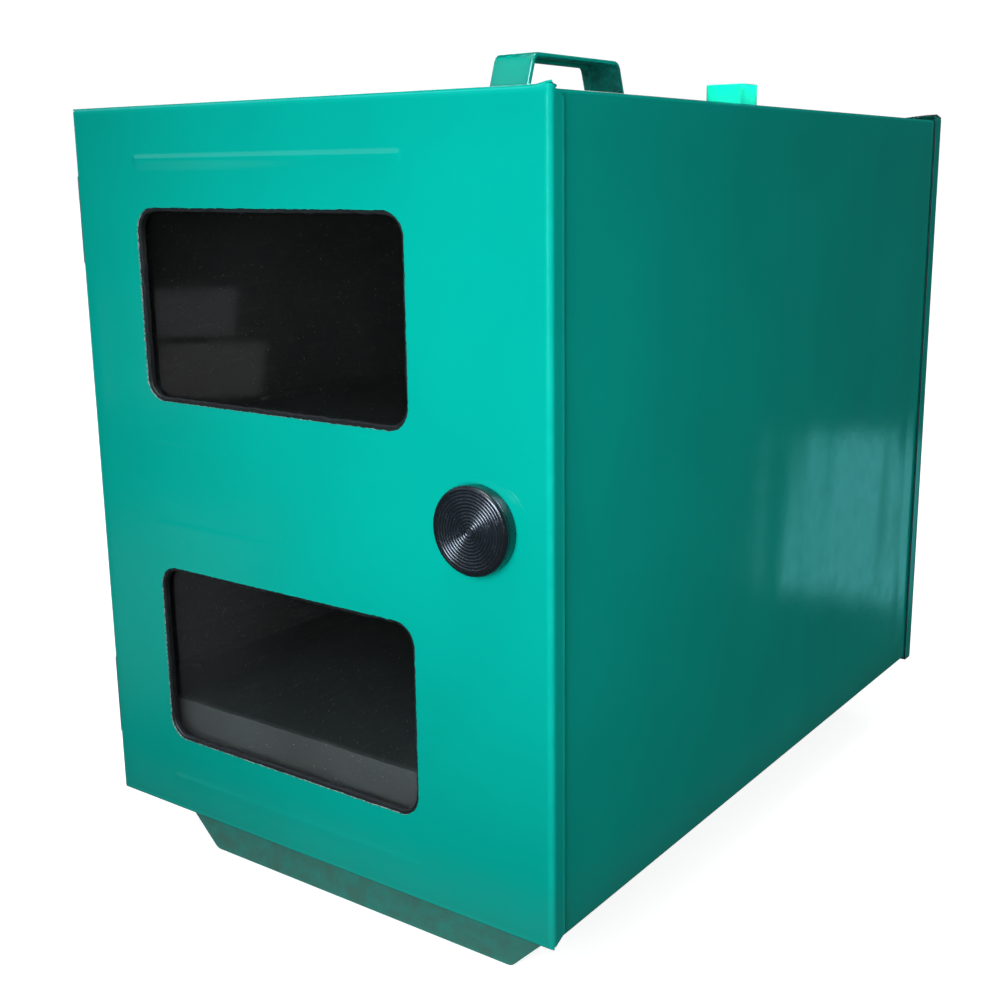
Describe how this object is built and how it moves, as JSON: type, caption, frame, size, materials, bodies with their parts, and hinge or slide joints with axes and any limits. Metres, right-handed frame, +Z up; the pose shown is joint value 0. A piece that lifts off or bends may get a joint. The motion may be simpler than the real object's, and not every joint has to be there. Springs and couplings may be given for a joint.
{
  "type": "book drop box",
  "caption": "Folded steel drop box on feet, with a hinged door that has glazed windows and a turning knob, shelves inside and a carrying handle on top.",
  "frame": {"origin": "on the ground, in the middle of the width and half way between the knob's face and the rear cover's face", "axes": "+Z up, the door faces -Y, +X towards the knob's side of the door"},
  "size_m": [0.4048, 0.6316, 0.5989],
  "materials": {
    "green_paint": "glossy baked enamel",
    "dark_paint": "satin dark primer",
    "zinc_steel": "zinc plated",
    "black_rubber": "matt",
    "black_plastic": "moulded, semi-gloss",
    "smoked_acrylic": "polished"
  },
  "bodies": {
    "cabinet": {"body_shell": "green_paint", "front_frame": "dark_paint", "door_gasket": "black_rubber", "rear_cover": "green_paint", "rear_cover_rivets": "green_paint", "front_foot": "green_paint", "rear_foot": "green_paint", "foot_bolts": "zinc_steel", "foot_nuts": "zinc_steel", "top_handle": "green_paint", "handle_rivets": "green_paint", "rear_bracket": "green_paint", "bracket_rivets": "green_paint", "lower_deck": "dark_paint", "upper_shelf": "dark_paint", "lower_rail_left": "dark_paint", "lower_rail_right": "dark_paint", "upper_rail_left": "dark_paint", "upper_rail_right": "dark_paint", "shelf_screws": "zinc_steel", "latch_keeper": "zinc_steel", "keeper_screws": "zinc_steel", "upper_hinge_body_leaf": "zinc_steel", "lower_hinge_body_leaf": "zinc_steel", "upper_hinge_pin": "zinc_steel", "lower_hinge_pin": "zinc_steel", "hinge_body_rivets": "zinc_steel"},
    "door": {"door_panel": "green_paint", "upper_pane": "smoked_acrylic", "lower_pane": "smoked_acrylic", "upper_pane_seal": "black_rubber", "lower_pane_seal": "black_rubber", "upper_pane_retainer": "dark_paint", "lower_pane_retainer": "dark_paint", "retainer_studs": "zinc_steel", "retainer_nuts": "zinc_steel", "upper_hinge_door_leaf": "zinc_steel", "lower_hinge_door_leaf": "zinc_steel", "hinge_door_rivets": "zinc_steel", "latch_bush": "zinc_steel", "latch_bush_nut": "zinc_steel"},
    "knob": {"knob": "black_plastic", "latch_spindle": "zinc_steel", "latch_cam": "zinc_steel", "cam_nut": "zinc_steel"}
  },
  "joints": [
    {"name": "door_hinge", "type": "hinge", "parent": "cabinet", "child": "door", "pos_m": [-0.2018, -0.28625, 0.3037], "axis": [0, 0, -1], "range_deg": [0, 175]},
    {"name": "knob_turn", "type": "hinge", "parent": "door", "child": "knob", "pos_m": [0.1495, -0.30425, 0.3087], "axis": [0, -1, 0], "range_deg": [0, 90]}
  ]
}
